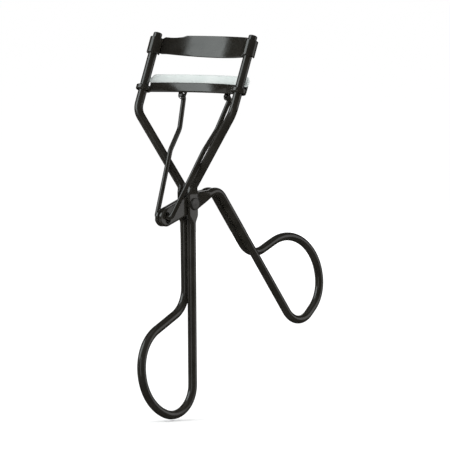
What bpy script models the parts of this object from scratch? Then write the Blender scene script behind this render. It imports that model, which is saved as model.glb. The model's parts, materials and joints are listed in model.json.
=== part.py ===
"""Eyelash curler: a bent wire frame with a fixed curved jaw, a sliding lower jaw with a soft pad,
and a wire lever whose two links push the lower jaw up its guide rods.

Run with: blender --background --python part.py

+Z points up the two straight handle legs, X runs across the jaws, and +Y is the side that the lever is
on, which is also the side that the jaws bulge towards. The origin is the bottom centre of the object's
bounding box. Most places below are written from the pivot pin's centre, in millimetres.
"""

import math

import bmesh
import bpy
from mathutils import Matrix, Vector

MM = 0.001

# Stock
WIRE_R = 1.15            # frame wire
LEVER_R = 1.07           # lever wire
LINK_R = 0.60            # link wire
LEG_X = 1.18             # half the spacing of the frame's two legs
LEVER_LEG_X = 1.12       # half the spacing of the lever's two legs
WIRE_SIDES = 12
LINK_SIDES = 8

# Frame wire
ROD_X = 16.85            # half the spacing of the guide rods
ROD_TOP_Z = 44.60
BEND_Z = 24.8            # where the V turns into the rods
BEND_Y = -0.8
BEND_R = 5.0
LEAN = math.radians(22.5)  # lean of the rods towards +Y
CROTCH_Z = 3.9           # where the V closes on the legs
CROTCH_R = 4.0
LOOP_TOP_Z = -27.15      # where the far leg leaves for the finger loop
# The loop's corners on the way round (x, y, z, radius), back to the near leg
LOOP_CORNERS = (
    (-0.80, -19.40, -36.45, 11.65),
    (0.10, -17.80, -52.40, 12.15),
    (0.95, 0.00, -58.90, 7.75),
)
LOOP_TOP_R = 7.9

# Cheeks of the frame and the gap for the tongue between them
CHEEK_IN_X = 1.30
CHEEK_OUT_X = 2.30
CHEEK_HALF_Y = 1.80
CHEEK_TOP_Z = 4.4
CHEEK_BOTTOM_Z = -4.8
SLOT_TOP_Z = 3.5
SLOT_BOTTOM_Z = -3.6

# Pivot
PIN_R = 0.95
PIN_HOLE_R = 1.15
HEAD_R = 1.65
HEAD_IN_X = 2.50
HEAD_OUT_X = 2.95
TAIL_R = 1.45

# Lever wire
TONGUE_ANGLE = math.radians(17)
TONGUE_IN_X = 0.12
TONGUE_OUT_X = 1.10
TONGUE_HALF_WIDTH = 2.25
TONGUE_TAIL = 12.35      # from the pin to the tongue's round end
TONGUE_WIDE_TO = 2.2     # the tongue narrows from here
TONGUE_REACH = 8.3       # to here, where it is wire again
LEVER_WIRE_START = 6.6
LEVER_BEND = (10.73, 3.28)
LEVER_BEND_R = 4.0
# The ring's corners on the way round (x, y, z, radius), from the near leg to the far leg
RING_CORNERS = (
    (LEVER_LEG_X, 41.70, -35.50, 6.50),
    (0.40, 52.40, -26.45, 9.50),
    (-0.50, 49.60, -4.90, 12.10),
    (-LEVER_LEG_X, 25.78, -15.57, 6.70),
)

# Links
HOOK_Y, HOOK_Z = -9.75, -3.10    # the lower hook's axis, in the tongue's slot
HOOK_END_X = 0.35
HOOK_SLOT_SHIFT = (0.16, -0.26)  # slot centre from the hook at rest, along and across the tongue
HOOK_SLOT_WIDTH = 2.1            # along the tongue
HOOK_SLOT_HEIGHT = 3.2           # across it
EAR_X = 7.95
EAR_Z = 28.30
LINK_CORNERS = (
    (2.25, HOOK_Y, HOOK_Z, 0.9),
    (5.65, -0.45, 14.10, 5.0),
    (6.70, 4.30, 19.60, 6.0),
)
EYE_REACH = 0.95                 # how far the upper hook stands before and behind its ear

# Jaws: their arc, seen from above, with Y counted from the rods' plane
JAW_CENTRE_Y = -23.0
JAW_R = 30.0
JAW_SLACK = 0.12                 # clearance of the sleeves round the rods

# Top plate
PLATE_T = 0.45
PLATE_ENDS_Z = (39.0, 43.4)
PLATE_MIDDLE_Z = (38.2, 43.8)
RAISED_HALF_X = 10.8
RAISED_STEP = 0.9
SLEEVE_Z = (39.2, 43.3)
WRAP_ANGLE = math.radians(285)

# Lower bar
CHANNEL_Z = (29.15, 31.65)
CHANNEL_HALF_IN = 1.20           # half the channel's inner width
CHANNEL_T = 0.50
CHANNEL_HALF_ANGLE = math.radians(32.5)
RING_Z = 30.2
RING_IN_R = 1.38
RING_OUT_R = 1.95
RING_H = 1.30
EAR_HOLE_R = 0.90
EAR_HALF_WIDTH = 1.25
EAR_T = 0.60

# Pad
PAD_HALF_T = 1.00
PAD_Z = (29.95, 33.7)
PAD_BODY_ANGLE = math.radians(32.3)
PAD_TAB_ANGLE = math.radians(34.8)
PAD_RELIEF_ANGLE = math.radians(27.5)
PAD_RELIEF_Z = 31.2
PAD_TAB_Z = (31.6, 32.9)
PAD_TAB_T = (0.4, 1.1)            # the tab, outwards from the arc

# Where the pivot is, from the bottom centre of the bounding box
PIVOT = Vector((0.0, -16.57, 56.68)) * MM

BLACK = (0.020, 0.019, 0.018, 1.0)
WHITE = (0.80, 0.83, 0.82, 1.0)


# ---------------------------------------------------------------- scene helpers

def clear_scene():
    for obj in list(bpy.data.objects):
        bpy.data.objects.remove(obj)


def make_collection(name):
    collection = bpy.data.collections.new(name)
    bpy.context.scene.collection.children.link(collection)
    return collection


def make_material(name, colour, roughness, metallic=0.0):
    material = bpy.data.materials.new(name)
    material.use_nodes = True
    shader = material.node_tree.nodes["Principled BSDF"]
    shader.inputs["Base Color"].default_value = colour
    shader.inputs["Roughness"].default_value = roughness
    shader.inputs["Metallic"].default_value = metallic
    return material


def new_object(name, mesh, collection):
    obj = bpy.data.objects.new(name, mesh)
    collection.objects.link(obj)
    return obj


def finish_part(obj, origin, material):
    """Moves a part, built from the pivot, to its place, with its own origin on its joint's axis."""
    obj.data.transform(Matrix.Translation(-Vector(origin) * MM))
    obj.location = PIVOT + Vector(origin) * MM
    obj.data.materials.clear()
    obj.data.materials.append(material)
    obj.data.shade_smooth()
    obj.data.set_sharp_from_angle(angle=math.radians(40))


# ---------------------------------------------------------------- shape helpers

def arc_corner(before, corner, after, radius, step):
    """Points of the arc that rounds one corner of a path."""
    into = (corner - before).normalized()
    out = (after - corner).normalized()
    turn = into.angle(out)
    axis = into.cross(out).normalized()
    start = corner - into * radius * math.tan(turn / 2)
    centre = start + axis.cross(into) * radius
    count = max(2, math.ceil(turn / step))
    return [centre + Matrix.Rotation(turn * i / count, 3, axis) @ (start - centre)
            for i in range(count + 1)]


def rounded_path(corners, step=math.radians(12)):
    """A path through corners (x, y, z, radius) whose inner corners are rounded."""
    points = [Vector(corner[:3]) for corner in corners]
    path = [points[0]]
    for i in range(1, len(points) - 1):
        path += arc_corner(points[i - 1], points[i], points[i + 1], corners[i][3], step)
    return path + [points[-1]]


def wire(name, path, radius, sides, collection):
    """A round wire along a path, as a closed mesh."""
    curve = bpy.data.curves.new(name, "CURVE")
    curve.dimensions = "3D"
    curve.bevel_depth = radius * MM
    curve.bevel_resolution = (sides - 4) // 2
    curve.use_fill_caps = True
    spline = curve.splines.new("POLY")
    spline.points.add(len(path) - 1)
    for point, place in zip(spline.points, path):
        point.co = (*(place * MM), 1.0)
    return mesh_from_curve(name, curve, collection)


def flat_plate(name, outline, thickness, matrix, collection):
    """A flat piece: a closed outline, in millimetres, and its thickness along its own Z."""
    curve = bpy.data.curves.new(name, "CURVE")
    curve.dimensions = "2D"
    curve.fill_mode = "BOTH"
    curve.extrude = thickness / 2 * MM
    spline = curve.splines.new("POLY")
    spline.use_cyclic_u = True
    spline.points.add(len(outline) - 1)
    for point, (x, y) in zip(spline.points, outline):
        point.co = (x * MM, y * MM, 0.0, 1.0)
    obj = mesh_from_curve(name, curve, collection)
    obj.data.transform(matrix)
    return obj


def mesh_from_curve(name, curve, collection):
    """Turns curve data into an object with a welded mesh."""
    source = new_object(name + "_curve", curve, collection)
    evaluated = source.evaluated_get(bpy.context.evaluated_depsgraph_get())
    mesh = bpy.data.meshes.new_from_object(evaluated)
    bpy.data.objects.remove(source)
    bm = bmesh.new()
    bm.from_mesh(mesh)
    bmesh.ops.remove_doubles(bm, verts=bm.verts, dist=1e-6)
    bmesh.ops.recalc_face_normals(bm, faces=bm.faces)
    bm.to_mesh(mesh)
    bm.free()
    mesh.name = name
    return new_object(name, mesh, collection)


def cylinder(name, radius, length, matrix, sides, collection):
    bm = bmesh.new()
    bmesh.ops.create_cone(bm, cap_ends=True, segments=sides, radius1=radius * MM,
                          radius2=radius * MM, depth=length * MM, matrix=matrix)
    mesh = bpy.data.meshes.new(name)
    bm.to_mesh(mesh)
    bm.free()
    return new_object(name, mesh, collection)


def block(name, low, high, collection):
    """A box between two corners given in millimetres."""
    low, high = Vector(low), Vector(high)
    bm = bmesh.new()
    place = Matrix.Translation((low + high) / 2 * MM) @ Matrix.Diagonal((*((high - low) * MM), 1))
    bmesh.ops.create_cube(bm, size=1.0, matrix=place)
    mesh = bpy.data.meshes.new(name)
    bm.to_mesh(mesh)
    bm.free()
    return new_object(name, mesh, collection)


def combine(target, tool, operation):
    """Joins a helper solid to a part or cuts it away, and keeps the helper as a hidden guide."""
    modifier = target.modifiers.new(tool.name, "BOOLEAN")
    modifier.operation = operation
    modifier.solver = "EXACT"
    modifier.object = tool
    tool.hide_render = True
    tool.hide_set(True)
    tool.display_type = "WIRE"


def apply_modifiers(obj):
    """Replaces the object's mesh by the result of its modifiers."""
    bpy.context.view_layer.update()
    evaluated = obj.evaluated_get(bpy.context.evaluated_depsgraph_get())
    mesh = bpy.data.meshes.new_from_object(evaluated)
    obj.modifiers.clear()
    obj.data = mesh


def along_x(x, y, z):
    """A frame at a place whose Z axis points along the object's X."""
    return Matrix.Translation(Vector((x, y, z)) * MM) @ Matrix.Rotation(math.pi / 2, 4, "Y")


def jaw_place(x, y, z):
    """A point of the jaws, whose Y is counted from the rods' plane at height z."""
    return Vector((x, y + BEND_Y + (z - BEND_Z) * math.tan(LEAN), z))


def jaw_arc(radius, angle):
    return radius * math.sin(angle), JAW_CENTRE_Y + radius * math.cos(angle)


def round_end(centre, radius, start, end, count):
    """Points of an arc in a flat outline, angles in degrees."""
    angles = [math.radians(start + (end - start) * i / count) for i in range(count + 1)]
    return [(centre[0] + radius * math.cos(a), centre[1] + radius * math.sin(a)) for a in angles]


# ---------------------------------------------------------------- parts

def make_frame_wire(parts, cutters):
    """One wire: a rod, the V, a leg, the finger loop, the other leg, the V and the other rod."""
    rod_top = jaw_place(ROD_X, 0.0, ROD_TOP_Z)
    corners = [
        (-rod_top.x, rod_top.y, rod_top.z, 0),
        (-ROD_X, BEND_Y, BEND_Z, BEND_R),
        (-LEG_X, 0, CROTCH_Z, CROTCH_R),
        (-LEG_X, 0, LOOP_TOP_Z, LOOP_TOP_R),
        *LOOP_CORNERS,
        (LEG_X, 0, CROTCH_Z, CROTCH_R),
        (ROD_X, BEND_Y, BEND_Z, BEND_R),
        (rod_top.x, rod_top.y, rod_top.z, 0),
    ]
    frame = wire("frame_wire", rounded_path(corners), WIRE_R, WIRE_SIDES, parts)

    corner_r = 1.2
    low = (-CHEEK_HALF_Y + corner_r, CHEEK_BOTTOM_Z + corner_r)
    high = (CHEEK_HALF_Y - corner_r, CHEEK_TOP_Z - corner_r)
    outline = (round_end(low, corner_r, 180, 270, 3)
               + round_end((high[0], low[1]), corner_r, 270, 360, 3)
               + round_end(high, corner_r, 0, 90, 3)
               + round_end((low[0], high[1]), corner_r, 90, 180, 3))
    # The outline is drawn in Y and Z, and stands on its side.
    stand = Matrix(((0, 0, 1, 0), (1, 0, 0, 0), (0, 1, 0, 0), (0, 0, 0, 1)))
    middle = (CHEEK_IN_X + CHEEK_OUT_X) / 2
    for side, label in ((-1, "far"), (1, "near")):
        place = Matrix.Translation((side * middle * MM, 0, 0)) @ stand
        cheek = flat_plate("cheek_" + label, outline, CHEEK_OUT_X - CHEEK_IN_X, place, cutters)
        combine(frame, cheek, "UNION")
    gap = block("tongue_gap", (-CHEEK_IN_X, -4, SLOT_BOTTOM_Z), (CHEEK_IN_X, 4, SLOT_TOP_Z), cutters)
    combine(frame, gap, "DIFFERENCE")
    hole = cylinder("frame_pin_hole", PIN_HOLE_R, 8, along_x(0, 0, 0), 24, cutters)
    combine(frame, hole, "DIFFERENCE")
    apply_modifiers(frame)
    return frame


def make_pivot_rivet(parts):
    """Turned pin: a flat head on the near side, a formed tail on the far side."""
    head_edge, tail_edge = 0.12, 0.30
    profile = [
        (0, HEAD_OUT_X),
        (HEAD_R - head_edge, HEAD_OUT_X),
        (HEAD_R, HEAD_OUT_X - head_edge),
        (HEAD_R, HEAD_IN_X),
        (PIN_R, HEAD_IN_X),
        (PIN_R, -HEAD_IN_X),
        (TAIL_R, -HEAD_IN_X),
        (TAIL_R, -HEAD_OUT_X + tail_edge),
        (TAIL_R - tail_edge, -HEAD_OUT_X),
        (0, -HEAD_OUT_X),
    ]
    bm = bmesh.new()
    verts = [bm.verts.new((r * MM, 0, z * MM)) for r, z in profile]
    for a, b in zip(verts, verts[1:]):
        bm.edges.new((a, b))
    mesh = bpy.data.meshes.new("pivot_rivet")
    bm.to_mesh(mesh)
    bm.free()
    rivet = new_object("pivot_rivet", mesh, parts)
    screw = rivet.modifiers.new("turn", "SCREW")
    screw.steps = 24
    screw.render_steps = 24
    screw.use_merge_vertices = True
    screw.merge_threshold = 1e-6
    apply_modifiers(rivet)
    rivet.data.transform(Matrix.Rotation(math.pi / 2, 4, "Y"))
    return rivet


def make_lever_wire(parts, cutters):
    """One wire: a tongue plate, a leg, the ring, the other leg and the other tongue plate."""
    tongue = Vector((0, math.cos(TONGUE_ANGLE), math.sin(TONGUE_ANGLE)))
    start = tongue * LEVER_WIRE_START
    corners = [
        (LEVER_LEG_X, start.y, start.z, 0),
        (LEVER_LEG_X, *LEVER_BEND, LEVER_BEND_R),
        *RING_CORNERS,
        (-LEVER_LEG_X, *LEVER_BEND, LEVER_BEND_R),
        (-LEVER_LEG_X, start.y, start.z, 0),
    ]
    lever = wire("lever_wire", rounded_path(corners), LEVER_R, WIRE_SIDES, parts)

    tail = (-(TONGUE_TAIL - TONGUE_HALF_WIDTH), 0)
    outline = round_end(tail, TONGUE_HALF_WIDTH, 90, 270, 10) + [
        (TONGUE_WIDE_TO, -TONGUE_HALF_WIDTH),
        (LEVER_WIRE_START, -LEVER_R),
        (TONGUE_REACH, -LEVER_R * 0.8),
        (TONGUE_REACH, LEVER_R * 0.8),
        (LEVER_WIRE_START, LEVER_R),
        (TONGUE_WIDE_TO, TONGUE_HALF_WIDTH),
    ]
    # The outline is drawn along and across the tongue, and stands on its side.
    across = Vector((0, -tongue.z, tongue.y))
    stand = Matrix((
        (0, 0, 1, 0),
        (tongue.y, across.y, 0, 0),
        (tongue.z, across.z, 0, 0),
        (0, 0, 0, 1),
    ))
    middle = (TONGUE_IN_X + TONGUE_OUT_X) / 2
    for side, label in ((-1, "far"), (1, "near")):
        place = Matrix.Translation((side * middle * MM, 0, 0)) @ stand
        plate = flat_plate("tongue_" + label, outline, TONGUE_OUT_X - TONGUE_IN_X, place, cutters)
        combine(lever, plate, "UNION")

    hook = Vector((0, HOOK_Y, HOOK_Z))
    centre_along = hook.dot(tongue) + HOOK_SLOT_SHIFT[0]
    centre_across = hook.dot(across) + HOOK_SLOT_SHIFT[1]
    end_r = HOOK_SLOT_WIDTH / 2
    rise = HOOK_SLOT_HEIGHT / 2 - end_r
    slot = (round_end((centre_along, centre_across + rise), end_r, 0, 180, 8)
            + round_end((centre_along, centre_across - rise), end_r, 180, 360, 8))
    slot_cut = flat_plate("hook_slot", slot, 8, stand, cutters)
    combine(lever, slot_cut, "DIFFERENCE")
    hole = cylinder("lever_pin_hole", PIN_HOLE_R, 8, along_x(0, 0, 0), 24, cutters)
    combine(lever, hole, "DIFFERENCE")
    apply_modifiers(lever)
    return lever


def strip_heights(x):
    """Lower and upper edge of the top plate at a distance x from its middle."""
    share = min(1.0, abs(x) / (ROD_X - 2))
    low = PLATE_MIDDLE_Z[0] + (PLATE_ENDS_Z[0] - PLATE_MIDDLE_Z[0]) * share ** 2
    high = PLATE_MIDDLE_Z[1] if abs(x) <= RAISED_HALF_X else PLATE_ENDS_Z[1]
    return low, high


def make_top_plate(parts):
    """A strip bent to the jaw's arc, whose ends wrap round the rods as sleeves."""
    reach = math.hypot(ROD_X, JAW_CENTRE_Y)
    wrap_r = WIRE_R + JAW_SLACK + PLATE_T / 2
    end_angle = math.atan2(ROD_X, -JAW_CENTRE_Y)
    plate_r = reach + wrap_r

    half = []
    steps = 14
    for i in range(steps):
        x, y = jaw_arc(plate_r, (end_angle - math.radians(3)) * i / (steps - 1))
        half.append((x, y, *strip_heights(x)))
    # The raised middle steps down to the ends.
    raised = jaw_arc(plate_r, math.asin(RAISED_HALF_X / plate_r))
    lowered = jaw_arc(plate_r, math.asin((RAISED_HALF_X + RAISED_STEP) / plate_r))
    half.append((*raised, *strip_heights(raised[0])))
    half.append((*lowered, *strip_heights(lowered[0])))
    half.sort()

    # The sleeve's ends are square to the rod, so each column's height follows its place round it.
    wrap_steps = 12
    for i in range(wrap_steps + 1):
        turn = math.pi / 2 - end_angle - WRAP_ANGLE * i / wrap_steps
        x = ROD_X + wrap_r * math.cos(turn)
        drop = wrap_r * math.sin(turn) * math.sin(LEAN)
        y = wrap_r * math.sin(turn) / math.cos(LEAN)
        half.append((x, y, SLEEVE_Z[0] - drop, SLEEVE_Z[1] - drop))
    columns = [(-x, y, low, high) for x, y, low, high in reversed(half[1:])] + half

    bm = bmesh.new()
    rows = [[bm.verts.new(jaw_place(x, y, z) * MM) for z in (low, high)]
            for x, y, low, high in columns]
    for (a, b), (c, d) in zip(rows, rows[1:]):
        bm.faces.new((a, c, d, b))
    mesh = bpy.data.meshes.new("top_plate")
    bm.to_mesh(mesh)
    bm.free()
    plate = new_object("top_plate", mesh, parts)
    shell = plate.modifiers.new("thickness", "SOLIDIFY")
    shell.thickness = PLATE_T * MM
    shell.offset = 0
    shell.use_even_offset = True
    apply_modifiers(plate)
    return plate


def make_lower_bar(parts, cutters):
    """A curved channel with a ring eye round each rod and two ears for the links."""
    wall = CHANNEL_HALF_IN + CHANNEL_T / 2
    floor_z = CHANNEL_Z[0] + CHANNEL_T / 2
    profile = [(JAW_R - wall, CHANNEL_Z[1]), (JAW_R - wall, floor_z),
               (JAW_R + wall, floor_z), (JAW_R + wall, CHANNEL_Z[1])]
    steps = 22
    bm = bmesh.new()
    rows = []
    for i in range(steps + 1):
        angle = CHANNEL_HALF_ANGLE * (2 * i / steps - 1)
        rows.append([bm.verts.new(jaw_place(*jaw_arc(r, angle), z) * MM) for r, z in profile])
    for row, following in zip(rows, rows[1:]):
        for k in range(len(profile) - 1):
            bm.faces.new((row[k], row[k + 1], following[k + 1], following[k]))
    mesh = bpy.data.meshes.new("lower_bar")
    bm.to_mesh(mesh)
    bm.free()
    bar = new_object("lower_bar", mesh, parts)
    shell = bar.modifiers.new("thickness", "SOLIDIFY")
    shell.thickness = CHANNEL_T * MM
    shell.offset = 0
    shell.use_even_offset = True
    apply_modifiers(bar)

    lean = Matrix.Rotation(-LEAN, 4, "X")
    for side, label in ((-1, "left"), (1, "right")):
        centre = jaw_place(side * ROD_X, 0, RING_Z)
        place = Matrix.Translation(centre * MM) @ lean
        ring = cylinder("ring_" + label, RING_OUT_R, RING_H, place, 24, cutters)
        combine(bar, ring, "UNION")

        ear_top = (CHANNEL_Z[0] + 0.4 - EAR_Z) / math.cos(LEAN)
        outline = round_end((0, 0), EAR_HALF_WIDTH, 180, 360, 8) + [
            (EAR_HALF_WIDTH * 1.15, ear_top), (-EAR_HALF_WIDTH * 1.15, ear_top)]
        ear = flat_plate("ear_" + label, outline, EAR_T, ear_frame(side), cutters)
        combine(bar, ear, "UNION")
        hole = cylinder("ear_hole_" + label, EAR_HOLE_R, 4, ear_frame(side), 16, cutters)
        combine(bar, hole, "DIFFERENCE")
    for side, label in ((-1, "left"), (1, "right")):
        centre = jaw_place(side * ROD_X, 0, RING_Z)
        place = Matrix.Translation(centre * MM) @ lean
        bore = cylinder("ring_bore_" + label, RING_IN_R, 12, place, 24, cutters)
        combine(bar, bore, "DIFFERENCE")
    apply_modifiers(bar)
    return bar


def ear_centre(side):
    """The middle of an ear's hole, on the channel's outer wall."""
    wall_r = JAW_R + CHANNEL_HALF_IN + CHANNEL_T / 2
    x, y = jaw_arc(wall_r, math.asin(EAR_X / wall_r))
    return jaw_place(side * x, y, EAR_Z)


def ear_frame(side):
    """A frame at the ear's hole: Z along the hole and outwards, Y up the leaning wall."""
    angle = side * math.asin(EAR_X / JAW_R)
    up = Vector((0, math.sin(LEAN), math.cos(LEAN)))
    normal = up.cross(Vector((math.cos(angle), -math.sin(angle), 0))).normalized()
    frame = Matrix((up.cross(normal), up, normal)).transposed().to_4x4()
    return Matrix.Translation(ear_centre(side) * MM) @ frame


def make_pad(parts):
    """A soft strip that stands out of the channel, with a thin tab at each end."""
    def section(angle, thickness, low, high):
        inner, outer = JAW_R + thickness[0], JAW_R + thickness[1]
        return [jaw_place(*jaw_arc(r, angle), z) * MM
                for r, z in ((inner, low), (outer, low), (outer, high), (inner, high))]

    body = (-PAD_HALF_T, PAD_HALF_T)
    sections = []
    steps = 16
    for i in range(steps + 1):
        angle = PAD_RELIEF_ANGLE * (2 * i / steps - 1)
        sections.append(section(angle, body, *PAD_Z))
    relief = PAD_RELIEF_ANGLE + math.radians(0.6)
    shoulder = PAD_BODY_ANGLE - math.radians(1.8)
    ends = [
        section(relief, body, PAD_RELIEF_Z, PAD_Z[1]),
        section(shoulder, body, PAD_RELIEF_Z, PAD_Z[1]),
        section(PAD_BODY_ANGLE, body, PAD_RELIEF_Z, PAD_Z[1] - 0.8),
        section(PAD_BODY_ANGLE + math.radians(0.4), PAD_TAB_T, *PAD_TAB_Z),
        section(PAD_TAB_ANGLE, PAD_TAB_T, *PAD_TAB_Z),
    ]
    starts = [[Vector((-ring[k].x, ring[k].y, ring[k].z)) for k in range(4)] for ring in reversed(ends)]
    rings = starts + sections + ends

    bm = bmesh.new()
    verts = [[bm.verts.new(point) for point in ring] for ring in rings]
    for ring, following in zip(verts, verts[1:]):
        for k in range(4):
            bm.faces.new((ring[k], ring[(k + 1) % 4], following[(k + 1) % 4], following[k]))
    bm.faces.new(verts[0])
    bm.faces.new(verts[-1])
    bmesh.ops.recalc_face_normals(bm, faces=bm.faces)
    mesh = bpy.data.meshes.new("pad")
    bm.to_mesh(mesh)
    bm.free()
    return new_object("pad", mesh, parts)


def make_link(name, side, parts):
    """A thin wire from the tongue's slot up to its ear, hooked at both ends."""
    ear = ear_centre(side)
    normal = ear_frame(side).to_3x3().col[2]
    front = ear - normal * EYE_REACH
    back = ear + normal * EYE_REACH
    corners = [(side * HOOK_END_X, HOOK_Y, HOOK_Z, 0)]
    corners += [(side * x, y, z, r) for x, y, z, r in LINK_CORNERS]
    corners += [(*front, 0.65), (*back, 0)]
    return wire(name, rounded_path(corners, math.radians(18)), LINK_R, LINK_SIDES, parts)


def main():
    clear_scene()
    parts = make_collection("eyelash_curler")
    cutters = make_collection("cutters")
    enamel = ("frame_wire", "top_plate", "lower_bar", "link_left", "link_right", "lever_wire")
    black = {name: make_material(name + "_enamel", BLACK, 0.25, 0.4) for name in enamel}
    rivet_material = make_material("pivot_rivet_enamel", BLACK, 0.35, 0.4)
    silicone = make_material("pad_silicone", WHITE, 0.45)

    pivot = (0, 0, 0)
    finish_part(make_frame_wire(parts, cutters), pivot, black["frame_wire"])
    finish_part(make_top_plate(parts), pivot, black["top_plate"])
    finish_part(make_pivot_rivet(parts), pivot, rivet_material)
    finish_part(make_lever_wire(parts, cutters), pivot, black["lever_wire"])
    bar_origin = jaw_place(0, 0, RING_Z)
    finish_part(make_lower_bar(parts, cutters), bar_origin, black["lower_bar"])
    finish_part(make_pad(parts), bar_origin, silicone)
    for name, side in (("link_left", -1), ("link_right", 1)):
        finish_part(make_link(name, side, parts), ear_centre(side), black[name])


main()
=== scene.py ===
"""Looks of the eyelash curler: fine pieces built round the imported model, materials, floor, light and camera.

Sizes are in millimetres from the pivot pin's centre unless a comment says otherwise. +Z runs up the two
straight handle legs, X runs across the jaws and +Y is the lever's side. The jaws' own places are written
with Y counted from the plane of the guide rods.
"""
import json
import math

import bmesh
import bpy
from mathutils import Matrix, Vector


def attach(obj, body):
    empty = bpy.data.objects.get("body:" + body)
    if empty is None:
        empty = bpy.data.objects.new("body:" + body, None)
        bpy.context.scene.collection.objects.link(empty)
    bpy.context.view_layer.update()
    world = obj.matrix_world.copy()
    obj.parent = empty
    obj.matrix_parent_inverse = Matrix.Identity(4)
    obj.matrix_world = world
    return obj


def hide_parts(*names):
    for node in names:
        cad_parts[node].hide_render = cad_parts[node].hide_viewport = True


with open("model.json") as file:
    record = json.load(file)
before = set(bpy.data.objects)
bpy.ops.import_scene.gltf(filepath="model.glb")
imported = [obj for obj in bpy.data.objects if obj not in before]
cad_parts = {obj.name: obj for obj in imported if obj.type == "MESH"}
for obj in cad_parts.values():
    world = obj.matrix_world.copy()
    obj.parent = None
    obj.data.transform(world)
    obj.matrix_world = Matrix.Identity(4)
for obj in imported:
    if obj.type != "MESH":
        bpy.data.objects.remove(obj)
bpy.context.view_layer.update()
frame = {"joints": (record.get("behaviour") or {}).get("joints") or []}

MM = 0.001
AXIS_R = 0.001                # radius of a turned shape's innermost points, which are welded into one
CUTTER_HALF_LENGTH = 4
JOINTS = {joint["name"]: joint for joint in frame["joints"]}
PIVOT = Vector(JOINTS["lever_pivot"]["pos_m"])

ROUND_POWER, CHEEK_POWER, TONGUE_POWER = 2, 5, 6  # how square a wire's section is, see oval()
WIRE_SIDES = 48
WIRE_SPACING = 0.4

# Frame wire
WIRE_R = 1.18
WIRE_END_R = 0.30
LEG_X = 1.25
ROD_X = 16.85
ROD_TOP_Z = 44.60
BEND_Y, BEND_Z, BEND_R = -0.966, 24.4, 5.0
BEND_SET_BACK = 0.18          # the bend sits this far behind the guide rods' line
LEAN = math.radians(22.5)
CROTCH_Y, CROTCH_Z, CROTCH_R = -0.28, 3.7, 4.0
LOOP_TOP_Z, LOOP_TOP_R = -27.15, 7.9
LOOP_CORNERS = (
    (-0.80, -19.40, -36.45, 11.65),
    (0.10, -17.80, -52.40, 12.15),
    (0.95, 0.00, -58.90, 7.75),
)
CHEEK_X = 1.76                # middle of the wire where it is pressed flat
CHEEK_HALF = (0.45, 1.80)     # half its thickness and half its width there
CHEEK_FLAT_Z = 2.7            # flat up to here, above and below the pin
CHEEK_ROUND_Z = 5.1           # and round again from here
PIN_HOLE_R = 1.15

# Pivot rivet
PIN_R = 0.95
HEAD_R = 1.62
HEAD_X = (2.21, 2.62)
HEAD_CROWN = (0.05, 0.03)     # how far the head's middle stands above its rim, and beside the middle
TAIL_R = 1.40
TAIL_DIMPLE = (0.55, 0.35, 0.22)  # its rim's and floor's radius, and its depth
RIVET_EDGE_R = 0.22

# Lever wire
LEVER_R = 1.10
LEVER_LEG_X = 1.16
TONGUE_ANGLE = math.radians(17)
TONGUE_X = 0.68
TONGUE_HALF = (0.47, 2.33)
TONGUE_TAIL = 12.6
TONGUE_TAIL_DROP = 0.25
TONGUE_EDGE_R = 0.08
TONGUE_FLAT_TO = 2.0
TONGUE_ROUND_FROM = 7.4
LEVER_BEND = (10.45, 3.56)
LEVER_BEND_R = 4.0
RING_CORNERS = (
    (LEVER_LEG_X, 41.70, -35.50, 6.50),
    (0.40, 52.40, -26.45, 9.50),
    (-0.50, 49.60, -4.90, 12.10),
    (-LEVER_LEG_X, 25.78, -15.57, 6.70),
)

# Links
LINK_R = 0.65
LINK_END_R = 0.18
HOOK_Y, HOOK_Z = -9.75, -3.10
HOOK_END_X = 0.35
HOOK_SLOT_SHIFT = (0.16, -0.26)
HOOK_SLOT = (2.1, 3.2)
EAR_X, EAR_Z = 7.95, 28.30
LINK_CORNERS = (
    (2.60, HOOK_Y, HOOK_Z, 0.9),
    (5.90, -0.40, 14.10, 5.0),
    (6.60, 4.15, 19.60, 6.0),
)
EYE_REACH = 1.15
TIP_REACH = 0.55
EYE_R = 0.78

# Jaws
JAW_CENTRE_Y = -23.0
JAW_R = 30.0
JAW_SLACK = 0.12
PLATE_T = 0.45
PLATE_ENDS_Z = (39.0, 43.4)
PLATE_MIDDLE_Z = (38.2, 43.8)
RAISED_X = (10.5, 12.0)       # the plate's raised middle ends between these
EDGE_DIP = 0.15               # how far the top edge sags outside the raised middle
NOTCH_DEPTH = 0.38            # rounded notches where the plate meets a sleeve
NOTCH_LENGTH = 0.6
PLATE_RIM_R = 0.11
SLEEVE_Z = (39.2, 43.3)
NECK_ANGLE = math.radians(2.2)  # from the plate's last column to its sleeve
WRAP_ANGLE = math.radians(285)
CHANNEL_Z = (29.15, 31.65)
CHANNEL_HALF_IN = 1.20
CHANNEL_T = 0.50
CHANNEL_RIM_R, CHANNEL_FOLD_R = 0.16, 0.45
CHANNEL_HALF_ANGLE = math.radians(33.1)
CHANNEL_END_CUT = 0.09         # how much sooner the outer wall ends, as a share of that angle
RING_Z, RING_H = 30.2, 1.30
RING_IN_R, RING_OUT_R = 1.38, 2.05
RING_EDGE_R = 0.25
EAR_RADIUS = 30.15            # the ears' distance from the jaw's centre
EAR_HOLE_R = 0.82
EAR_HALF_WIDTH = 1.06
EAR_T = 0.55
EAR_FOOT_WIDENING = 1.15
EAR_SUNK = 0.4                # how far an ear's foot goes into the channel's floor

# Pad
PAD_HALF_T = 1.00
PAD_Z = (29.95, 33.7)
PAD_HALF_ANGLE = math.radians(33.5)
PAD_CORNER_R = 1.0
PAD_RELIEF_ANGLE = math.radians(27.5)  # beyond it the pad's foot clears the ring eyes
PAD_RELIEF_Z = 31.2
PAD_TAB_ANGLE = math.radians(34.8)
PAD_TAB_Z = (31.6, 32.9)
PAD_TAB_T = (0.4, 1.1)
PAD_CROWN_R, PAD_END_R, PAD_TAB_R = 0.45, 0.35, 0.2
PAD_STEP_ANGLE = math.radians(0.3)  # length of the steps from body to relief and from relief to tab


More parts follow.
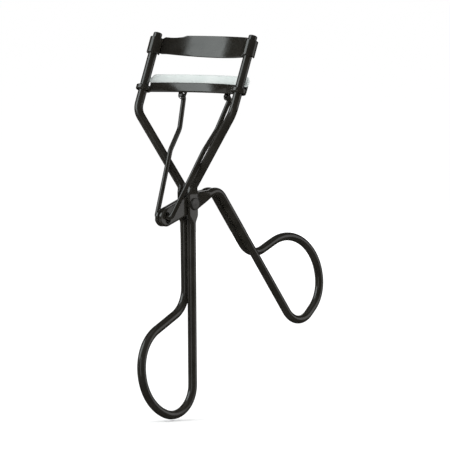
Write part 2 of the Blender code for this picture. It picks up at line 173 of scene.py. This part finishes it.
# ---------------------------------------------------------------- paths and outlines

def smooth_share(start, end, value):
    """0 before start, 1 after end, and an even change between them."""
    share = min(1.0, max(0.0, (value - start) / (end - start)))
    return share * share * (3 - 2 * share)


def mix(a, b, share):
    return a + (b - a) * share


def arc_corner(before, corner, after, radius, step):
    """Points of the arc that rounds one corner of a path."""
    into = (corner - before).normalized()
    out = (after - corner).normalized()
    turn = into.angle(out)
    axis = into.cross(out).normalized()
    start = corner - into * radius * math.tan(turn / 2)
    centre = start + axis.cross(into) * radius
    count = max(2, math.ceil(turn / step))
    return [centre + Matrix.Rotation(turn * i / count, 3, axis) @ (start - centre)
            for i in range(count + 1)]


def rounded_path(corners, step=math.radians(4), spacing=0.8):
    """A path through corners (x, y, z, radius), rounded at them and with points close together."""
    places = [Vector(corner[:3]) for corner in corners]
    path = [places[0]]
    for i in range(1, len(places) - 1):
        path += arc_corner(places[i - 1], places[i], places[i + 1], corners[i][3], step)
    path.append(places[-1])
    fine = [path[0]]
    for a, b in zip(path, path[1:]):
        count = max(1, math.ceil((b - a).length / spacing))
        fine += [a.lerp(b, (i + 1) / count) for i in range(count)]
    return fine


def rounded_outline(corners, count=4):
    """A closed outline through corners (x, y, radius), rounded at them."""
    places = [Vector((x, y, 0)) for x, y, _ in corners]
    outline = []
    for i, (_, _, radius) in enumerate(corners):
        before, here, after = places[i - 1], places[i], places[(i + 1) % len(places)]
        turn = (here - before).angle(after - here)
        outline += arc_corner(before, here, after, radius, turn / count)
    return [(point.x, point.y) for point in outline]


def tangents(path):
    ends = [path[0] - (path[1] - path[0]), *path, path[-1] + (path[-1] - path[-2])]
    return [(b - a).normalized() for a, b in zip(ends, ends[2:])]


def jaw_place(x, y, z):
    """A point of the jaws, whose Y is counted from the rods' plane at height z."""
    return Vector((x, y + BEND_Y + (z - BEND_Z) * math.tan(LEAN), z))


def jaw_arc(radius, angle):
    return radius * math.sin(angle), JAW_CENTRE_Y + radius * math.cos(angle)


# ---------------------------------------------------------------- mesh helpers

def finish_mesh(name, bm, angle=math.radians(35)):
    """A smooth-shaded object, in metres and in place, from mesh data in millimetres from the pivot."""
    bmesh.ops.remove_doubles(bm, verts=bm.verts, dist=1e-4)
    bmesh.ops.recalc_face_normals(bm, faces=bm.faces)
    bm.transform(Matrix.Translation(PIVOT) @ Matrix.Scale(MM, 4))
    mesh = bpy.data.meshes.new(name)
    bm.to_mesh(mesh)
    bm.free()
    obj = bpy.data.objects.new(name, mesh)
    bpy.context.scene.collection.objects.link(obj)
    smooth(obj, angle)
    return obj


def smooth(obj, angle=math.radians(35)):
    obj.data.shade_smooth()
    obj.data.set_sharp_from_angle(angle=angle)


def loft(bm, rings, closed=False):
    """Faces between rings of places. An open loft gets a face on each end."""
    rows = [[bm.verts.new(place) for place in ring] for ring in rings]
    pairs = list(zip(rows, rows[1:]))
    if closed:
        pairs.append((rows[-1], rows[0]))
    for row, following in pairs:
        for k in range(len(row)):
            after = (k + 1) % len(row)
            bm.faces.new((row[k], row[after], following[after], following[k]))
    if not closed:
        bm.faces.new(rows[0])
        bm.faces.new(rows[-1])


def oval(centre, side, across, half_side, half_across, power, sides):
    """A ring of places round a centre: a circle at power 2, nearly a flat bar at power 6."""
    ring = []
    for i in range(sides):
        angle = math.tau * (i + 0.5) / sides
        c, s = math.cos(angle), math.sin(angle)
        u = math.copysign(abs(c) ** (2 / power), c) * half_side
        v = math.copysign(abs(s) ** (2 / power), s) * half_across
        ring.append(centre + side * u + across * v)
    return ring


def wire_rings(path, sections, edge, sides, sideways=None):
    """Rings of a wire. sections gives, for each point, (half_side, half_across, power, shift to the side).

    sideways is the direction that a section's first width keeps to. Without it the section doesn't twist.
    Both ends are rounded off over the distance edge."""
    directions = tangents(path)
    side = sideways or directions[0].orthogonal()
    frames = []
    for direction in directions:
        side = (sideways or side)
        side = (side - direction * side.dot(direction)).normalized()
        frames.append((direction, side, direction.cross(side)))
    rings = []
    for point, (direction, side, across), section in zip(path, frames, sections):
        half_side, half_across, power, shift = section
        rings.append(oval(point + Vector((shift, 0, 0)), side, across, half_side, half_across, power, sides))
    for last, direction in ((0, -directions[0]), (-1, directions[-1])):
        half_side, half_across, power, shift = sections[last]
        _, side, across = frames[last]
        steps = 5
        for i in range(1, steps + 1):
            turn = math.pi / 2 * i / steps
            inset = edge * (1 - math.cos(turn))
            centre = path[last] + direction * edge * math.sin(turn) + Vector((shift, 0, 0))
            ring = oval(centre, side, across, half_side - inset, half_across - inset, power, sides)
            rings.insert(0, ring) if last == 0 else rings.append(ring)
    return rings


def turned(bm, profile, place, steps=64):
    """A turned shape: a closed profile of (radius, height) spun round place's Z axis."""
    rings = []
    for i in range(steps):
        angle = math.tau * i / steps
        turn = place @ Matrix.Rotation(angle, 4, "Z")
        rings.append([turn @ Vector((radius, 0, height)) for radius, height in profile])
    loft(bm, rings, closed=True)


def ring_profile(inner, outer, half_height, edge):
    """Cross-section of a washer with rounded edges."""
    return rounded_outline([(inner, -half_height, edge), (outer, -half_height, edge),
                            (outer, half_height, edge), (inner, half_height, edge)])


def plate(bm, outline, half_thickness, place, edge=0.1):
    """A flat piece with rounded rims: an outline in place's XY plane, thick along its Z."""
    centre = Vector((sum(x for x, _ in outline), sum(y for _, y in outline), 0)) / len(outline)
    steps = 4
    levels = []
    for i in range(steps + 1):
        turn = math.pi / 2 * i / steps
        levels.append((half_thickness - edge * (1 - math.sin(turn)), edge * (1 - math.cos(turn))))
    rings = []
    for z, inset in sorted([(-z, inset) for z, inset in levels] + levels):
        ring = []
        for x, y in outline:
            out = Vector((x, y, 0)) - centre
            ring.append(place @ (centre + out * (1 - inset / out.length) + Vector((0, 0, z))))
        rings.append(ring)
    loft(bm, rings)


def solid(name, build):
    """A helper object made by a function that fills a mesh."""
    bm = bmesh.new()
    build(bm)
    return finish_mesh(name, bm)


def combine(target, tool, operation):
    """Joins a helper solid to a piece or cuts it away, for good."""
    modifier = target.modifiers.new(tool.name, "BOOLEAN")
    modifier.operation = operation
    modifier.solver = "EXACT"
    modifier.object = tool
    apply_modifiers(target)
    bpy.data.objects.remove(tool)


def apply_modifiers(obj):
    bpy.context.view_layer.update()
    evaluated = obj.evaluated_get(bpy.context.evaluated_depsgraph_get())
    mesh = bpy.data.meshes.new_from_object(evaluated)
    obj.modifiers.clear()
    obj.data = mesh


def weld(obj, distance=5e-7):
    """Joins points that the cuts left almost on top of each other."""
    bm = bmesh.new()
    bm.from_mesh(obj.data)
    bmesh.ops.remove_doubles(bm, verts=bm.verts, dist=distance)
    bmesh.ops.dissolve_degenerate(bm, dist=distance, edges=bm.edges)
    bm.to_mesh(obj.data)
    bm.free()


def along_x():
    """A place at the pivot whose Z axis points along X."""
    return Matrix.Rotation(math.pi / 2, 4, "Y")


def drill(name, place, radius, half_length, sides):
    """A round solid along place's Z axis, which cuts a hole."""
    angles = [math.tau * i / sides for i in range(sides)]
    rings = [[place @ Vector((radius * math.cos(a), radius * math.sin(a), z)) for a in angles]
             for z in (-half_length, half_length)]
    return solid(name, lambda bm: loft(bm, rings))


def pin_hole():
    return drill("pin_hole", along_x(), PIN_HOLE_R, 5, sides=48)


# ---------------------------------------------------------------- pieces

def make_frame_wire():
    """One wire: rod, V, leg, finger loop, leg, V, rod. It is pressed flat on both sides of the pin."""
    top = jaw_place(ROD_X, 0.0, ROD_TOP_Z)
    corners = [
        (-top.x, top.y, top.z, 0),
        (-ROD_X, BEND_Y - BEND_SET_BACK, BEND_Z, BEND_R),
        (-LEG_X, CROTCH_Y, CROTCH_Z, CROTCH_R),
        (-LEG_X, 0, LOOP_TOP_Z, LOOP_TOP_R),
        *LOOP_CORNERS,
        (LEG_X, CROTCH_Y, CROTCH_Z, CROTCH_R),
        (ROD_X, BEND_Y - BEND_SET_BACK, BEND_Z, BEND_R),
        (top.x, top.y, top.z, 0),
    ]
    path = rounded_path(corners, spacing=WIRE_SPACING)
    directions = tangents(path)
    path[0] += directions[0] * WIRE_END_R
    path[-1] -= directions[-1] * WIRE_END_R

    def section(point):
        flat = 1 - smooth_share(CHEEK_FLAT_Z, CHEEK_ROUND_Z, abs(point.z))
        shift = math.copysign((CHEEK_X - LEG_X) * flat, point.x)
        power = mix(ROUND_POWER, CHEEK_POWER, flat)
        return mix(WIRE_R, CHEEK_HALF[0], flat), mix(WIRE_R, CHEEK_HALF[1], flat), power, shift

    bm = bmesh.new()
    sections = [section(point) for point in path]
    loft(bm, wire_rings(path, sections, WIRE_END_R, WIRE_SIDES, sideways=Vector((1, 0, 0))))
    wire = finish_mesh("coated_frame_wire", bm)
    combine(wire, pin_hole(), "DIFFERENCE")
    smooth(wire)
    return wire


def make_lever_wire():
    """One wire: tongue plate, leg, ring, leg, tongue plate. The plates have a slot for the links' hooks."""
    tongue = Vector((0, math.cos(TONGUE_ANGLE), math.sin(TONGUE_ANGLE)))
    across = Vector((0, -tongue.z, tongue.y))
    half_width = TONGUE_HALF[1]
    round_from = -(TONGUE_TAIL - half_width)
    end = tongue * round_from - across * TONGUE_TAIL_DROP
    corners = [
        (LEVER_LEG_X, end.y, end.z, 0),
        (LEVER_LEG_X, *LEVER_BEND, LEVER_BEND_R),
        *RING_CORNERS,
        (-LEVER_LEG_X, *LEVER_BEND, LEVER_BEND_R),
        (-LEVER_LEG_X, end.y, end.z, 0),
    ]
    path = rounded_path(corners, spacing=WIRE_SPACING)
    steps = 14
    tail = []
    for i in range(steps, 0, -1):
        place = end - tongue * half_width * math.sin(math.pi / 2 * i / steps)
        tail.append(Vector((LEVER_LEG_X, place.y, place.z)))
    path = tail + path + [Vector((-point.x, point.y, point.z)) for point in reversed(tail)]

    def section(point):
        along = point.dot(tongue)
        if along > TONGUE_ROUND_FROM or point.y > LEVER_BEND[0]:
            return LEVER_R, LEVER_R, ROUND_POWER, 0
        flat = 1 - min(1.0, max(0.0, (along - TONGUE_FLAT_TO) / (TONGUE_ROUND_FROM - TONGUE_FLAT_TO)))
        width = mix(LEVER_R, half_width, flat)
        if along < round_from:
            width = max(0.3, math.sqrt(max(0.0, half_width ** 2 - (round_from - along) ** 2)))
        thickness = mix(LEVER_R, TONGUE_HALF[0], 1 - smooth_share(TONGUE_FLAT_TO, TONGUE_ROUND_FROM, along))
        shift = (TONGUE_X - LEVER_LEG_X) * flat * math.copysign(1, point.x)
        return thickness, width, mix(ROUND_POWER, TONGUE_POWER, flat), shift

    bm = bmesh.new()
    sections = [section(point) for point in path]
    loft(bm, wire_rings(path, sections, TONGUE_EDGE_R, WIRE_SIDES, sideways=Vector((1, 0, 0))))
    lever = finish_mesh("coated_lever_wire", bm)
    combine(lever, pin_hole(), "DIFFERENCE")

    hook = Vector((0, HOOK_Y, HOOK_Z))
    middle = (hook.dot(tongue) + HOOK_SLOT_SHIFT[0], hook.dot(across) + HOOK_SLOT_SHIFT[1])
    half_x, half_y = HOOK_SLOT[0] / 2, HOOK_SLOT[1] / 2
    outline = rounded_outline([(middle[0] + sx * half_x, middle[1] + sy * half_y, half_x * 0.98)
                               for sx, sy in ((-1, -1), (1, -1), (1, 1), (-1, 1))], count=10)
    stand = Matrix(((0, 0, 1, 0), (tongue.y, across.y, 0, 0), (tongue.z, across.z, 0, 0), (0, 0, 0, 1)))
    slot = solid("hook_slot", lambda bm: plate(bm, outline, CUTTER_HALF_LENGTH, stand))
    combine(lever, slot, "DIFFERENCE")
    smooth(lever)
    return lever


def make_rivet():
    """Turned pin with a low round-edged head on the near side and a dimpled, upset tail on the far side."""
    edge = RIVET_EDGE_R
    middle, beside = HEAD_CROWN
    profile = [(AXIS_R, HEAD_X[1] + middle), (HEAD_R * 0.55, HEAD_X[1] + beside)]
    steps = 8
    for i in range(steps + 1):
        turn = math.pi / 2 * i / steps
        profile.append((HEAD_R - edge + edge * math.sin(turn), HEAD_X[1] - edge + edge * math.cos(turn)))
    profile += [(HEAD_R, HEAD_X[0]), (PIN_R, HEAD_X[0]), (PIN_R, -HEAD_X[0]), (TAIL_R, -HEAD_X[0])]
    for i in range(steps + 1):
        turn = math.pi / 2 * i / steps
        height = -HEAD_X[1] + 0.05 + edge - edge * math.sin(turn)
        profile.append((TAIL_R - edge + edge * math.cos(turn), height))
    rim_r, floor_r, depth = TAIL_DIMPLE
    profile += [(rim_r, -HEAD_X[1]), (floor_r, -HEAD_X[1] + depth - 0.04), (AXIS_R, -HEAD_X[1] + depth)]
    bm = bmesh.new()
    turned(bm, profile, along_x(), 72)
    return finish_mesh("coated_pivot_rivet", bm)


def ear_centre(side):
    """The middle of an ear's hole, under the channel's floor."""
    x, y = jaw_arc(EAR_RADIUS, math.asin(EAR_X / EAR_RADIUS))
    return jaw_place(side * x, y, EAR_Z)


def ear_frame(side):
    """A frame at the ear's hole: Z along the hole and outwards, Y up the leaning wall."""
    angle = side * math.asin(EAR_X / JAW_R)
    up = Vector((0, math.sin(LEAN), math.cos(LEAN)))
    normal = up.cross(Vector((math.cos(angle), -math.sin(angle), 0))).normalized()
    place = Matrix((up.cross(normal), up, normal)).transposed().to_4x4()
    return Matrix.Translation(ear_centre(side)) @ place


def eye_frame(side):
    """A frame at the middle of a ring eye: Z up the leaning rod."""
    return Matrix.Translation(jaw_place(side * ROD_X, 0, RING_Z)) @ Matrix.Rotation(-LEAN, 4, "X")


def make_link(name, side):
    """A thin wire from the tongue's slot up behind its ear, hooked at both ends."""
    ear = ear_centre(side)
    normal = ear_frame(side).to_3x3().col[2]
    behind = ear + normal * EYE_REACH
    tip = ear - normal * TIP_REACH
    corners = [(side * HOOK_END_X, HOOK_Y, HOOK_Z, 0)]
    corners += [(side * x, y, z, r) for x, y, z, r in LINK_CORNERS]
    corners += [(*behind, EYE_R), (*tip, 0)]
    path = rounded_path(corners, math.radians(6), WIRE_SPACING)
    sections = [(LINK_R, LINK_R, ROUND_POWER, 0)] * len(path)
    bm = bmesh.new()
    loft(bm, wire_rings(path, sections, LINK_END_R, sides=32))
    return finish_mesh(name, bm)


def plate_heights(x):
    """Lower and upper edge of the top plate at a distance x from its middle."""
    share = min(1.0, abs(x) / (ROD_X - 2))
    low = mix(PLATE_MIDDLE_Z[0], PLATE_ENDS_Z[0], share ** 2)
    high = mix(PLATE_MIDDLE_Z[1], PLATE_ENDS_Z[1], smooth_share(*RAISED_X, abs(x)))
    end = ROD_X - 0.4
    outside = min(1.0, max(0.0, (abs(x) - RAISED_X[1]) / (end - NOTCH_LENGTH - RAISED_X[1])))
    high -= EDGE_DIP * math.sin(math.pi * outside)
    notch = smooth_share(end - NOTCH_LENGTH, end, abs(x))
    return low + NOTCH_DEPTH * notch * 0.5, high - NOTCH_DEPTH * notch


def make_top_plate():
    """A strip bent to the jaw's arc, whose ends wrap round the rods as sleeves with square-cut ends."""
    wrap_r = WIRE_R + JAW_SLACK + PLATE_T / 2
    plate_r = math.hypot(ROD_X, JAW_CENTRE_Y) + wrap_r
    end_angle = math.atan2(ROD_X, -JAW_CENTRE_Y)

    half = []
    steps = 90
    for i in range(steps + 1):
        angle = (end_angle - NECK_ANGLE) * i / steps
        x, y = jaw_arc(plate_r, angle)
        half.append((x, y, *plate_heights(x)))
    wrap_steps = 60
    for i in range(wrap_steps + 1):
        turn = math.pi / 2 - end_angle - WRAP_ANGLE * i / wrap_steps
        x = ROD_X + wrap_r * math.cos(turn)
        drop = wrap_r * math.sin(turn) * math.sin(LEAN)
        y = wrap_r * math.sin(turn) / math.cos(LEAN)
        half.append((x, y, SLEEVE_Z[0] - drop, SLEEVE_Z[1] - drop))
    columns = [(-x, y, low, high) for x, y, low, high in reversed(half[1:])] + half

    rows = 12
    bm = bmesh.new()
    grid = [[bm.verts.new(jaw_place(x, y, mix(low, high, k / rows))) for k in range(rows + 1)]
            for x, y, low, high in columns]
    for a, b in zip(grid, grid[1:]):
        for k in range(rows):
            bm.faces.new((a[k], b[k], b[k + 1], a[k + 1]))
    jaw = finish_mesh("coated_top_plate", bm)
    shell = jaw.modifiers.new("thickness", "SOLIDIFY")
    shell.thickness = PLATE_T * MM
    shell.offset = 0
    shell.use_even_offset = True
    rim = jaw.modifiers.new("rims", "BEVEL")
    rim.width = PLATE_RIM_R * MM
    rim.segments = 3
    rim.limit_method = "ANGLE"
    rim.angle_limit = math.radians(50)
    apply_modifiers(jaw)
    smooth(jaw)
    return jaw


def make_lower_bar():
    """A curved channel with a ring eye round each rod and two ears for the links."""
    out, inside = CHANNEL_HALF_IN + CHANNEL_T, CHANNEL_HALF_IN
    low, high = CHANNEL_Z
    floor = low + CHANNEL_T
    rim, fold, corner = CHANNEL_RIM_R, CHANNEL_FOLD_R, 0.2
    section = rounded_outline([
        (-out, high, rim), (-out, low, fold), (out, low, fold), (out, high, rim),
        (inside, high, rim), (inside, floor, corner), (-inside, floor, corner), (-inside, high, rim),
    ])

    def channel(bm):
        steps = 120
        rings = []
        for i in range(steps + 1):
            angle = CHANNEL_HALF_ANGLE * (2 * i / steps - 1)
            ring = []
            for r, z in section:
                cut = 1 - CHANNEL_END_CUT * max(0, r) / out
                ring.append(jaw_place(*jaw_arc(JAW_R + r, angle * cut), z))
            rings.append(ring)
        loft(bm, rings)

    bar = solid("coated_lower_bar", channel)
    eyes = ((-1, "left", eye_frame(-1)), (1, "right", eye_frame(1)))
    eye = ring_profile(0.5, RING_OUT_R, RING_H / 2, RING_EDGE_R)
    ear_top = (low + EAR_SUNK - EAR_Z) / math.cos(LEAN)
    foot = EAR_HALF_WIDTH * EAR_FOOT_WIDENING
    round_end = [math.radians(degrees) for degrees in range(180, 361, 9)]
    outline = [(EAR_HALF_WIDTH * math.cos(a), EAR_HALF_WIDTH * math.sin(a)) for a in round_end]
    outline += [(foot, ear_top), (-foot, ear_top)]
    for side, label, place in eyes:
        combine(bar, solid("eye_" + label, lambda bm: turned(bm, eye, place)), "UNION")
        ear = solid("ear_" + label, lambda bm: plate(bm, outline, EAR_T / 2, ear_frame(side)))
        combine(bar, ear, "UNION")
        combine(bar, drill("hole_" + label, ear_frame(side), EAR_HOLE_R, 1.2, sides=40), "DIFFERENCE")
    for side, label, place in eyes:
        combine(bar, drill("bore_" + label, place, RING_IN_R, 6, sides=64), "DIFFERENCE")
    weld(bar)
    smooth(bar)
    return bar


def make_pad():
    """A soft strip that stands out of the channel, with round top corners and a thin tab at each end."""
    def ring(angle, thickness, low, high, edge):
        inner, outer = thickness
        corners = ((inner, low, edge), (outer, low, edge), (outer, high, edge), (inner, high, edge))
        outline = rounded_outline(corners, 5)
        return [jaw_place(*jaw_arc(JAW_R + r, angle), z) for r, z in outline]

    body = (-PAD_HALF_T, PAD_HALF_T)
    rings = []
    steps = 110
    for i in range(steps + 1):
        angle = PAD_RELIEF_ANGLE * (2 * i / steps - 1)
        rings.append(ring(angle, body, *PAD_Z, PAD_CROWN_R))
    ends = []
    relief = PAD_RELIEF_ANGLE + PAD_STEP_ANGLE
    steps = 24
    corner_angle = PAD_CORNER_R / JAW_R
    for i in range(steps + 1):
        angle = mix(relief, PAD_HALF_ANGLE, i / steps)
        past = max(0.0, angle - (PAD_HALF_ANGLE - corner_angle)) / corner_angle
        drop = PAD_CORNER_R * (1 - math.sqrt(max(0.0, 1 - past * past)))
        ends.append(ring(angle, body, PAD_RELIEF_Z, PAD_Z[1] - drop, PAD_END_R))
    for angle in (PAD_HALF_ANGLE + PAD_STEP_ANGLE, PAD_TAB_ANGLE):
        ends.append(ring(angle, PAD_TAB_T, *PAD_TAB_Z, PAD_TAB_R))
    starts = [[Vector((-p.x, p.y, p.z)) for p in places] for places in reversed(ends)]
    bm = bmesh.new()
    loft(bm, starts + rings + ends)
    return finish_mesh("silicone_pad", bm)


# ---------------------------------------------------------------- materials

EDGE_WEAR_AND_SHEEN = 0.35                   # how far the lighter edge colour shows: coating rubbed thin and painted highlight on convex edges
PEEL_DEPTH = 2.2e-6           # metres
PAD_WAVE_DEPTH = 4e-5
PAD_GRAIN_DEPTH = 4e-6


class Nodes:
    """Short way to add and link the nodes of one material."""

    def __init__(self, name):
        self.material = bpy.data.materials.new(name)
        self.material.use_nodes = True
        self.tree = self.material.node_tree
        self.shader = self.tree.nodes["Principled BSDF"]
        self.coordinates = self.add("ShaderNodeTexCoord").outputs["Object"]

    def add(self, kind, **settings):
        node = self.tree.nodes.new(kind)
        for key, value in settings.items():
            setattr(node, key, value)
        return node

    def link(self, output, target):
        self.tree.links.new(output, target)

    def noise(self, scale, detail=2.0, roughness=0.5, stretch=None):
        """Noise with about scale bumps in a metre, stretched along an axis if asked."""
        node = self.add("ShaderNodeTexNoise")
        node.inputs["Scale"].default_value = scale
        node.inputs["Detail"].default_value = detail
        node.inputs["Roughness"].default_value = roughness
        source = self.coordinates
        if stretch:
            mapping = self.add("ShaderNodeMapping")
            mapping.inputs["Scale"].default_value = stretch
            self.link(source, mapping.inputs["Vector"])
            source = mapping.outputs["Vector"]
        self.link(source, node.inputs["Vector"])
        return node.outputs["Fac"]

    def ramp(self, source, low, high, from_low=0.35, from_high=0.65):
        """A value between low and high as the source goes from from_low to from_high."""
        node = self.add("ShaderNodeMapRange")
        node.interpolation_type = "SMOOTHSTEP"
        ends = (("From Min", from_low), ("From Max", from_high), ("To Min", low), ("To Max", high))
        for key, value in ends:
            node.inputs[key].default_value = value
        self.link(source, node.inputs["Value"])
        return node.outputs["Result"]

    def colour_mix(self, factor, a, b):
        node = self.add("ShaderNodeMix", data_type="RGBA")
        self.link(factor, node.inputs["Factor"])
        for key, value in (("A", a), ("B", b)):
            socket = [s for s in node.inputs if s.name == key and s.type == "RGBA"][0]
            if isinstance(value, tuple):
                socket.default_value = (*value, 1.0)
            else:
                self.link(value, socket)
        return [s for s in node.outputs if s.type == "RGBA"][0]

    def maths(self, operation, a, b):
        node = self.add("ShaderNodeMath", operation=operation)
        for socket, value in zip(node.inputs, (a, b)):
            if isinstance(value, (int, float)):
                socket.default_value = value
            else:
                self.link(value, socket)
        return node.outputs["Value"]

    def bump(self, height, depth, normal=None):
        """Relief of a given depth in metres."""
        node = self.add("ShaderNodeBump")
        node.inputs["Distance"].default_value = depth
        node.inputs["Strength"].default_value = 1.0
        self.link(height, node.inputs["Height"])
        if normal:
            self.link(normal, node.inputs["Normal"])
        return node.outputs["Normal"]


def enamel(name, gloss=0.15):
    """Baked black coating on steel: faint orange peel, dust-fine specks, and lighter brown-grey convex edges
    that are partly rubbed coating and partly a painted highlight.
    """
    n = Nodes(name)
    cloud = n.ramp(n.noise(160, 3), 0.0, 1.0)
    specks = n.ramp(n.noise(5200, 1), 0.0, 1.0, 0.70, 0.76)
    base = n.colour_mix(cloud, (0.0150, 0.0136, 0.0108), (0.0205, 0.0188, 0.0155))
    base = n.colour_mix(n.maths("MULTIPLY", specks, 0.25), base, (0.060, 0.057, 0.052))

    # Convex edges are painted lighter. This is partly the coating rubbed thin there and partly a painted
    # highlight that stands in for the reflections along their rims.
    pointiness = n.add("ShaderNodeNewGeometry").outputs["Pointiness"]
    edge = n.ramp(pointiness, 0.0, 1.0, 0.54, 0.62)
    edge_wear_and_sheen = n.maths("MULTIPLY", edge, n.ramp(n.noise(900, 4), 0.15, 1.0))
    edge_wear_and_sheen = n.maths("MULTIPLY", edge_wear_and_sheen, EDGE_WEAR_AND_SHEEN)
    # convex edges get a lighter brown-grey: rubbed coating plus painted edge highlight
    base = n.colour_mix(edge_wear_and_sheen, base, (0.080, 0.074, 0.066))
    n.link(base, n.shader.inputs["Base Color"])

    uneven = n.ramp(n.noise(420, 4), gloss - 0.03, gloss + 0.05)
    scratches = n.ramp(n.noise(900, 2, 0.6, (1.0, 6.0, 0.35)), 0.0, 0.08, 0.58, 0.72)
    n.link(n.maths("ADD", uneven, scratches), n.shader.inputs["Roughness"])

    n.link(n.bump(n.noise(620, 1), PEEL_DEPTH), n.shader.inputs["Normal"])
    n.shader.inputs["Specular IOR Level"].default_value = 1.0
    return n.material


def silicone(name):
    """Soft translucent white silicone: cloudy inside, matt skin with faint mould lines."""
    n = Nodes(name)
    cloud = n.ramp(n.noise(220, 3), 0.0, 1.0, 0.3, 0.7)
    base = n.colour_mix(cloud, (0.62, 0.665, 0.65), (0.68, 0.715, 0.70))
    n.link(base, n.shader.inputs["Base Color"])
    skin = n.ramp(n.noise(2600, 3), 0.36, 0.50)
    n.link(skin, n.shader.inputs["Roughness"])
    waves = n.bump(n.noise(300, 2, 0.5, (1.0, 1.0, 4.0)), PAD_WAVE_DEPTH)
    grain = n.bump(n.noise(7000, 2), PAD_GRAIN_DEPTH, normal=waves)
    n.link(grain, n.shader.inputs["Normal"])
    n.shader.inputs["Subsurface Weight"].default_value = 0.6
    n.shader.inputs["Subsurface Radius"].default_value = (1.0, 1.0, 1.0)
    n.shader.inputs["Subsurface Scale"].default_value = 0.0012
    n.shader.inputs["IOR"].default_value = 1.41
    return n.material


def floor_paper(name):
    """Plain matt white paper with a barely visible tooth."""
    n = Nodes(name)
    tooth = n.noise(900, 3)
    base = n.colour_mix(n.ramp(tooth, 0.0, 1.0), (0.995, 0.995, 0.995), (1.0, 1.0, 1.0))
    n.link(base, n.shader.inputs["Base Color"])
    n.shader.inputs["Roughness"].default_value = 0.9
    n.shader.inputs["Specular IOR Level"].default_value = 0.0
    return n.material


# ---------------------------------------------------------------- studio

FLOOR_RADIUS = 6.0            # metres, as the next one is
FLOOR_DROP = 0.0004
CAMERA_AZIMUTH = math.radians(41.67)
CAMERA_ELEVATION = math.radians(3.08)
CAMERA_ROLL = math.radians(0.47)
VIEW_WIDTH = 119.08           # millimetres across the picture
VIEW_SHIFT = (9.63, -5.68)    # middle of the picture from the pivot, right and up
LENS = 1500.0
SENSOR = 36.0


def direction(azimuth, elevation):
    """Unit vector from the object towards a place round it. Azimuth 0 is the -Y side, 90 degrees is +X."""
    return Vector((math.sin(azimuth) * math.cos(elevation), -math.cos(azimuth) * math.cos(elevation),
                   math.sin(elevation)))


def make_camera():
    back = direction(CAMERA_AZIMUTH, CAMERA_ELEVATION)
    turn = (-back).to_track_quat("-Z", "Y")
    right, up = turn @ Vector((1, 0, 0)), turn @ Vector((0, 1, 0))
    aim = PIVOT + (right * VIEW_SHIFT[0] + up * VIEW_SHIFT[1]) * MM
    data = bpy.data.cameras.new("camera")
    data.sensor_width = SENSOR
    data.lens = LENS
    distance = VIEW_WIDTH / 2 * MM / (SENSOR / 2 / LENS)
    data.clip_start, data.clip_end = 0.1, 100
    camera = bpy.data.objects.new("camera", data)
    bpy.context.scene.collection.objects.link(camera)
    camera.rotation_mode = "QUATERNION"
    camera.rotation_quaternion = turn @ Matrix.Rotation(-CAMERA_ROLL, 3, "Z").to_quaternion()
    camera.location = aim + back * distance
    bpy.context.scene.camera = camera


def softbox(name, azimuth, elevation, distance, size, strength, tint=(1, 1, 1)):
    """A soft light of a given brightness, aimed at the object and unseen by the camera."""
    data = bpy.data.lights.new(name, "AREA")
    data.shape = "RECTANGLE"
    data.size, data.size_y = size
    data.color = tint
    data.energy = strength * size[0] * size[1] * math.pi
    light = bpy.data.objects.new(name, data)
    bpy.context.scene.collection.objects.link(light)
    towards = direction(math.radians(azimuth), math.radians(elevation))
    light.location = PIVOT + towards * distance
    light.rotation_mode = "QUATERNION"
    light.rotation_quaternion = (-towards).to_track_quat("-Z", "Y")
    light.visible_camera = False


def make_studio():
    """A white floor and a white surrounding that give an even fill, and soft lights for the reflections."""
    bm = bmesh.new()
    bmesh.ops.create_circle(bm, cap_ends=True, segments=96, radius=FLOOR_RADIUS)
    mesh = bpy.data.meshes.new("floor")
    bm.to_mesh(mesh)
    bm.free()
    floor = bpy.data.objects.new("floor", mesh)
    bpy.context.scene.collection.objects.link(floor)
    floor.location.z = -FLOOR_DROP
    mesh.materials.append(floor_paper("floor_paper"))
    floor.visible_glossy = False

    world = bpy.data.worlds.new("studio")
    bpy.context.scene.world = world
    world.use_nodes = True
    background = world.node_tree.nodes["Background"]
    background.inputs["Color"].default_value = (1.0, 1.0, 1.0, 1.0)
    background.inputs["Strength"].default_value = 1.0
    world.cycles_visibility.glossy = False

    softbox("key", -36, 36, 0.65, (0.46, 0.46), 1.8, (0.93, 1.0, 1.0))
    softbox("front", 14, 8, 1.20, (0.50, 0.80), 0.50)
    softbox("left", -68, 0, 0.90, (0.50, 0.70), 0.24)
    softbox("right", 138, 10, 0.90, (0.60, 0.62), 0.62)
    softbox("top", 60, 80, 0.80, (0.60, 0.60), 0.15)
    softbox("back", 222, 8, 0.90, (0.40, 0.90), 0.8)
    bpy.context.scene.view_settings.view_transform = "Standard"


# ---------------------------------------------------------------- assembly

def place_piece(piece, node, body, material):
    piece.data.materials.clear()
    piece.data.materials.append(material)
    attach(piece, body)
    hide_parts(node)


def main():
    place_piece(make_frame_wire(), "frame_wire", "frame", enamel("enamel_frame_wire"))
    place_piece(make_top_plate(), "top_plate", "frame", enamel("enamel_top_plate"))
    place_piece(make_rivet(), "pivot_rivet", "frame", enamel("enamel_rivet", gloss=0.32))
    place_piece(make_lever_wire(), "lever_wire", "lever", enamel("enamel_lever_wire"))
    place_piece(make_lower_bar(), "lower_bar", "bar", enamel("enamel_lower_bar"))
    pad = make_pad()
    place_piece(pad, "pad", "bar", silicone("pad_silicone"))
    for label, side in (("left", -1), ("right", 1)):
        link = make_link("coated_link_" + label, side)
        place_piece(link, "link_" + label, "link_" + label, enamel("enamel_link_" + label))
    make_studio()
    make_camera()


main()
